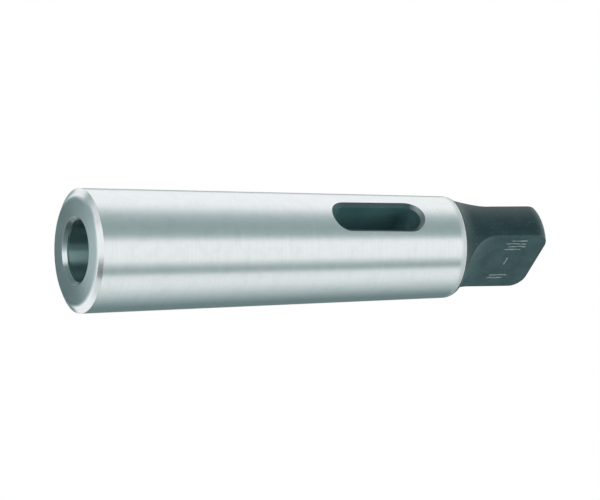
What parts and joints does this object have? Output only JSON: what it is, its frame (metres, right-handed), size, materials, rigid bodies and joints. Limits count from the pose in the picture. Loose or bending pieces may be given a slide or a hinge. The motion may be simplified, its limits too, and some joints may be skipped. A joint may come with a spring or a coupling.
{
  "type": "taper reducing sleeve",
  "caption": "Steel reducing sleeve with a long outer shank taper, a smaller taper socket in its large end, a drift slot through the wall and a flat tang.",
  "frame": {"origin": "centre of the large end face, where the socket opens, on the axis of the tapers", "axes": "+Z along the axis towards the tang, Y along the drift slot's way through, X square to the two flats of the tang"},
  "size_m": [0.024, 0.024, 0.0985],
  "materials": {
    "steel": "ground bright on the taper, black oxide on the tang and in the drift slot"
  },
  "bodies": {
    "root": {"sleeve": "steel"}
  },
  "joints": []
}
